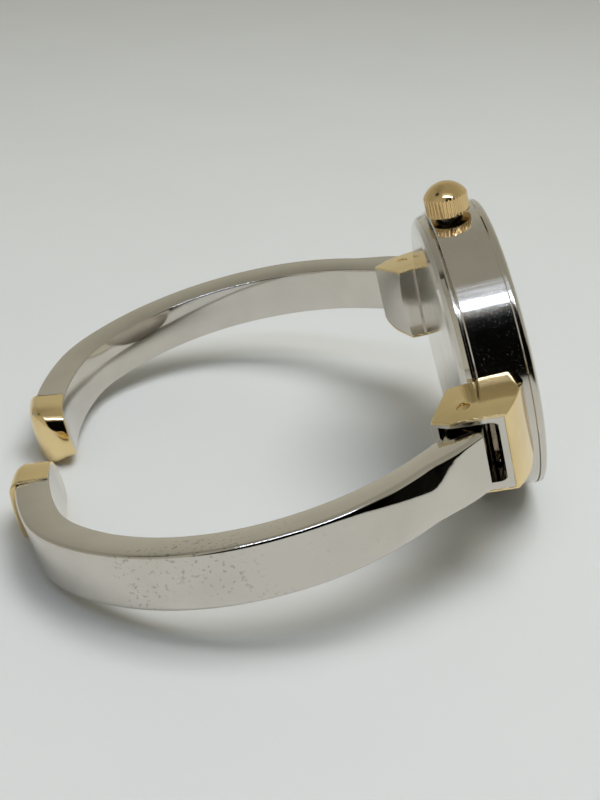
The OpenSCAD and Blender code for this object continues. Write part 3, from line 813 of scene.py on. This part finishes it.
@dataclass
class EndCap:
    """Gold cap over the end of an arm: a block drawn in to a round nose, sizes in mm."""

    arm: Arm
    # across the bar, inner and outer faces, and half the height
    inner: float = -1.8
    outer: float = 2.825
    top: float = 3.4
    # across, up and radius of each corner of the section
    section: tuple[Place, ...] = (
        (-1.8, -2.9, 0.12), (1.5, -3.4, 0.5), (2.55, -3.4, 0.9), (2.825, -0.8, 2.2), (2.2, 3.4, 0.95),
        (1.2, 3.4, 0.5), (-1.8, 2.9, 0.12))
    # rim: its rings, how far it slants on the inner side and up to where, and the share of
    # the section at its first ring
    rim: tuple[float, ...] = (-3.9, -3.75, -3.3, -2.9)
    slant: float = 0.7
    slant_to: float = -3.6
    rim_share: float = 0.985
    # nose: reach, radius of its dome and outer corner, their blends, and angles of its rings
    nose: float = 2.6
    dome: float = 5.0
    corner: float = 4.2
    side_blend: float = 0.3
    top_blend: float = 0.9
    angles: tuple[float, ...] = (0, 9, 18, 26, 34, 42, 49, 56, 62, 68, 73, 78, 82, 85, 87.5, 89.2)

    def build(self) -> None:
        """Makes the cap and lays it over its CAD node."""
        shape = bmesh.new()
        start = self.arm.dome_at[0]
        ways = [*self.rim, *(start + self.dome * math.sin(math.radians(a)) for a in self.angles)]
        rings = drag(shape, outline(shape, self.section), self.arm.past_tip(ways))
        self.round_nose(ways, rings)
        side = self.arm.side
        settle(shape, f"tip_{side.value}", side.frame(self.arm.rest), Finishes.GOLD_PLATE,
               f"arm_{side.value}", [f"end_cap_{side.value}"], crease=55.0)

    def round_nose(self, ways: Sequence[float], rings: Sequence[Ring]) -> None:
        """Slants the rim and draws the cap in to its nose.

        Args:
            ways: How far each ring stands beyond the bar's end.
            rings: Frame and vertices of each ring.
        """
        start, low = self.arm.dome_at
        width = self.outer - self.inner
        for along, (place, verts) in zip(ways, rings):
            domed = along > start
            tall = leg(self.dome, max(0.0, along - start))
            wide = width - self.corner + leg(self.corner, max(0.0, along - self.nose + self.corner))
            sides = soft_min(width, wide, self.side_blend) / width if domed else 1.0
            inset = self.rim_share if along <= self.rim[0] else 1.0
            back = place.inverted()
            for vert in verts:
                across, _, up = back @ vert.co
                rise = up - low
                limit = self.top - low if rise > 0 else self.top + low
                rise *= soft_min(limit, tall, self.top_blend) / limit if domed else 1.0
                tuck = self.slant * (1 - (across - self.inner) / width) if along < self.slant_to else 0.0
                across = self.inner + (across - self.inner) * sides * inset
                vert.co = place @ Vector((across, -tuck, low + rise * inset))


@dataclass
class MinuteTrack:
    """Sixty strokes printed round the edge of the dial, every fifth longer and bolder, in mm."""

    rest: Rest
    # height of the dial's face, and how far the strokes' ends stand from its middle
    top: float = 2.8
    inner: float = 12.45
    outer: float = 12.95
    # how much the plain strokes are shorter, then their width and the height of the ink
    shorter: float = 0.15
    wide: float = 0.09
    ink: float = 0.02

    def build(self) -> None:
        """Makes the strokes and lays them on the dial."""
        shape = bmesh.new()
        short = (60, self.inner + self.shorter, self.wide)
        for count, inner, wide in (short, (12, self.inner, self.wide * 2)):
            size = Matrix.Diagonal((self.outer - inner, wide, self.ink, 1))
            place = Matrix.Translation(((self.outer + inner) / 2, 0, self.top + self.ink / 2))
            first = bmesh.ops.create_cube(shape, size=1.0, matrix=place @ size)["verts"]
            faces = dict.fromkeys(f for v in first for f in v.link_faces)
            bmesh.ops.spin(shape, geom=[*first, *faces], cent=(0, 0, 0), axis=(0, 0, 1),
                           angle=math.tau * (count - 1) / count, steps=count - 1, use_duplicate=True)
        settle(shape, "minute_strokes", self.rest.dial(), Finishes.INK, "watch_head")


@dataclass(frozen=True)
class Carried:
    """A sub-assembly whose CAD nodes take a finish."""

    name: str
    finishes: Mapping[Finishes, tuple[str, ...]]

    def dress(self, nodes: Mapping[str, bpy.types.Object]) -> None:
        """Gives each node its finish.

        Args:
            nodes: The CAD nodes by name.
        """
        for finish, names in self.finishes.items():
            for name in names:
                slots = nodes[name].data.materials
                slots.clear()
                slots.append(finish.finish.build())
                LOG.info("%s: %s in %s", self.name, name, finish.finish.name)


CARRIED = (
    Carried("case", {
        Finishes.POLISHED_STEEL: ("case_body", "bezel", "case_back"),
        Finishes.GLASS: ("crystal",),
        Finishes.CLEAR_GASKET: ("crystal_gasket",),
        Finishes.NITRILE: ("back_gasket",),
        Finishes.SATIN_STEEL: ("case_tube",),
    }),
    Carried("lugs", {
        Finishes.POLISHED_STEEL: ("lug_block_12", "lug_block_6"),
        Finishes.GOLD_PLATE: ("lug_hood_12", "lug_hood_6", "hinge_pin_12", "hinge_pin_6"),
        Finishes.SPRING: ("hinge_spring_12", "hinge_spring_6"),
    }),
    Carried("arms", {
        Finishes.WORN_STEEL: ("arm_12", "arm_6"),
        Finishes.GOLD_PLATE: ("end_cap_12", "end_cap_6"),
    }),
    Carried("crown", {
        Finishes.CROWN_PLATE: ("crown",),
        Finishes.NITRILE: ("crown_gasket",),
        Finishes.SATIN_STEEL: ("winding_stem", "sliding_pinion", "setting_lever"),
    }),
    Carried("face", {
        Finishes.LACQUER: ("dial",),
        Finishes.SATIN_LACQUER: ("flange_ring",),
        Finishes.GILT: ("hour_hand", "minute_hand", "hour_markers"),
    }),
    Carried("movement", {
        Finishes.BRASS: ("hour_wheel", "centre_wheel", "minute_wheel", "setting_wheel", "third_wheel",
                         "intermediate_wheel", "main_plate"),
        Finishes.SATIN_STEEL: ("stator", "train_bridge", "battery_clip", "movement_screws", "quartz_can",
                               "battery", "rotor"),
        Finishes.COPPER: ("coil",),
        Finishes.BOARD: ("circuit_board",),
        Finishes.HOLDER: ("movement_ring",),
    }),
)


# studio


@dataclass(frozen=True)
class Camera:
    """The camera at the photograph's place: mm in the watch frame, radians and pixels."""

    rest: Rest
    eye: Place = (-14.118, -122.760, 62.454)
    azimuth: float = 0.0418
    elevation: float = 0.4916
    roll: float = -0.2628
    focal: float = 1226.6
    middle: tuple[float, float] = (309.26, 416.15)
    picture: tuple[int, int] = (600, 800)
    sensor: float = 36.0
    nearest: float = 5 * MM

    def build(self) -> None:
        """Puts the camera where the photograph was taken from."""
        a, e = self.azimuth, self.elevation
        back = Vector((math.sin(a) * math.cos(e), -math.cos(a) * math.cos(e), math.sin(e)))
        right = (-back).cross(Vector((0, 0, 1))).normalized()
        up = right.cross(-back)
        c, s = math.cos(self.roll), math.sin(self.roll)
        turned = Matrix((c * right + s * up, c * up - s * right, back)).transposed()
        lens = bpy.data.cameras.new("camera")
        long_side = max(self.picture)
        lens.sensor_width = self.sensor
        lens.lens = self.focal / long_side * self.sensor
        lens.shift_x = (self.picture[0] / 2 - self.middle[0]) / long_side
        lens.shift_y = (self.middle[1] - self.picture[1] / 2) / long_side
        lens.clip_start = self.nearest
        camera = bpy.data.objects.new("camera", lens)
        tilt = Matrix.Rotation(math.radians(-self.rest.tilt), 3, "Y")
        place = Matrix.Translation(self.rest.watch() @ Vector(self.eye))
        camera.matrix_world = place @ (tilt @ turned).to_4x4()
        bpy.context.scene.collection.objects.link(camera)
        bpy.context.scene.camera = camera


@dataclass(frozen=True)
class Floor:
    """The pale card that the watch stands on, reaching this many metres each way."""

    reach: float = 1.5
    finish: Finish = Card("smooth_card", "cdcecb", roughness=0.5)

    def build(self) -> None:
        """Lays the card."""
        shape = bmesh.new()
        bmesh.ops.create_grid(shape, x_segments=2, y_segments=2, size=self.reach)
        mesh = bpy.data.meshes.new("sheet")
        shape.to_mesh(mesh)
        shape.free()
        mesh.materials.append(self.finish.build())
        sheet = bpy.data.objects.new("sheet", mesh)
        bpy.context.scene.collection.objects.link(sheet)


@dataclass(frozen=True)
class Lamp:
    """A rectangular lamp that looks at the watch: metres and watts."""

    name: str
    place: Place
    size: tuple[float, float]
    power: float
    colour: str
    # whether polished metal shows it
    mirrored: bool = True
    aim: Place = (0.0, 0.0, 0.01)

    def build(self) -> bpy.types.Light:
        """Hangs the lamp.

        Returns:
            Its light.
        """
        light = bpy.data.lights.new(self.name, "AREA")
        light.shape = "RECTANGLE"
        light.size, light.size_y = self.size
        light.energy = self.power
        light.color = srgb(self.colour)[:3]
        box = bpy.data.objects.new(self.name, light)
        box.location = self.place
        box.visible_glossy = self.mirrored
        box.rotation_euler = (Vector(self.aim) - Vector(self.place)).to_track_quat("-Z", "Y").to_euler()
        bpy.context.scene.collection.objects.link(box)
        return light


@dataclass(frozen=True)
class LampRow(Lamp):
    """A row of small bright lamps along the lower edge of a dim, cloudy cover."""

    # lamps in the row, strength of each, and clouds across the cover
    count: int = 20
    glow: float = 7.0
    clouds: float = 7.0
    # height of the row and of the cover's lower edge, as shares of the whole
    row_to: float = 0.28
    cover_from: float = 0.34

    def build(self) -> bpy.types.Light:
        """Hangs the row and shades it.

        Returns:
            Its light.
        """
        light = super().build()
        light.use_nodes = True
        nodes = light.node_tree.nodes
        spot = add(nodes, "NewGeometry").outputs["Parametric"]
        split = add(nodes, "SeparateXYZ", links={0: spot})
        wave = add(nodes, "Math", {"operation": "MULTIPLY", 1: self.count * math.tau},
                   {0: split.outputs["X"]})
        wave = add(nodes, "Math", {"operation": "COSINE"}, {0: wave})
        dots = add(nodes, "MapRange", {
            "From Min": 0.45, "From Max": 1.0, "To Min": 0.04, "To Max": self.glow}, {"Value": wave})
        cloud = add(nodes, "TexNoise", {"Scale": self.clouds, "Detail": 4.0, "Roughness": 0.7,
                                        "Distortion": 0.6}, {"Vector": spot})
        cover = add(nodes, "MapRange", {
            "From Min": 0.4, "From Max": 0.6, "To Min": 0.02, "To Max": 0.24}, {"Value": cloud})
        # the cover fades upwards
        fade = add(nodes, "ValToRGB", {"stops": [(0.3, 1.0), (1.0, 0.4)]}, {"Fac": split.outputs["Y"]})
        cover = add(nodes, "Math", {"operation": "MULTIPLY"}, {0: cover, 1: fade})
        part = add(nodes, "ValToRGB", {"stops": [(self.row_to, 1.0), (self.cover_from, 0.0)]},
                   {"Fac": split.outputs["Y"]})
        level = add(nodes, "Mix", {"data_type": "FLOAT"}, {0: part, NUMBER_A: cover, NUMBER_B: dots})
        link(level, nodes["Emission"].inputs["Strength"])
        return light


@dataclass(frozen=True)
class Shade:
    """A darker place in the room."""

    name: str
    # its direction, the degrees from its middle to its edge and across the edge, and its level
    aim: Place
    wide: float
    soft: float
    level: float


@dataclass(frozen=True)
class Room:
    """A warm grey room, dark on the camera's side."""

    # sine of the elevation and level, from the walls low down to the ceiling
    walls: tuple[tuple[float, float], ...] = (
        (0.0, 0.52), (0.3, 0.46), (0.56, 0.43), (0.75, 0.36), (1.0, 0.34))
    # green and blue beside the red
    warmth: tuple[float, float] = (0.985, 0.84)
    shades: tuple[Shade, ...] = (
        Shade("camera_side", (0.136, -0.969, 0.208), 37.0, 9.0, 0.004),
        Shade("low_corner", (0.79, -0.60, 0.08), 15.0, 9.0, 0.01),
        Shade("curtain", (-0.709, 0.41, 0.574), 25.0, 20.0, 0.76),
        Shade("doorway", (-0.69, 0.02, 0.72), 5.0, 5.0, 0.15),
    )

    def build(self) -> None:
        """Surrounds the watch with the room."""
        world = bpy.data.worlds.new("room")
        world.use_nodes = True
        bpy.context.scene.world = world
        nodes = world.node_tree.nodes
        way = add(nodes, "TexCoord").outputs["Generated"]
        high = add(nodes, "SeparateXYZ", links={0: way}).outputs["Z"]
        green, blue = self.warmth
        stops = [(at, (v, v * green, v * blue, 1.0)) for at, v in self.walls]
        level = add(nodes, "ValToRGB", {"stops": stops}, {"Fac": high})
        for shade in self.shades:
            facing = Vector(shade.aim).normalized()
            near = add(nodes, "VectorMath", {"operation": "DOT_PRODUCT", 1: facing}, {0: way})
            outside, inside = math.radians(shade.wide + shade.soft), math.radians(shade.wide)
            patch = add(nodes, "MapRange", {
                "label": shade.name, "interpolation_type": "SMOOTHSTEP", "From Min": math.cos(outside),
                "From Max": math.cos(inside), "To Min": 1.0, "To Max": shade.level},
                {"Value": near.outputs["Value"]})
            level = add(nodes, "VectorMath", {"operation": "SCALE"}, {0: level, "Scale": patch})
        link(level, nodes["Background"].inputs["Color"])


@dataclass
class Studio:
    """Pale floor, soft light and the camera at the photograph's angle."""

    rest: Rest
    lamps: tuple[Lamp, ...] = (
        Lamp("soft_box", (0.122, -0.044, 0.483), (0.27, 0.27), 1.85, "fbfcff", mirrored=False),
        LampRow("lamp_row", (-0.032, -0.201, 0.457), (0.36, 0.16), 0.9, "d3e2ff"),
    )

    def build(self) -> None:
        """Sets up the whole studio."""
        bpy.context.scene.view_settings.view_transform = "Standard"
        for part in (Camera(self.rest), Floor(), *self.lamps, Room()):
            part.build()
            LOG.info("studio: %s", type(part).__name__)


def main() -> None:
    """Builds the dressed watch."""
    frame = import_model()
    rest = Rest()
    Studio(rest).build()
    for assembly in CARRIED:
        assembly.dress(frame["nodes"])
    for side in Side:
        arm = Arm(side, rest)
        arm.build()
        EndCap(arm).build()
    MinuteTrack(rest).build()


if __name__ == "__main__":
    main()
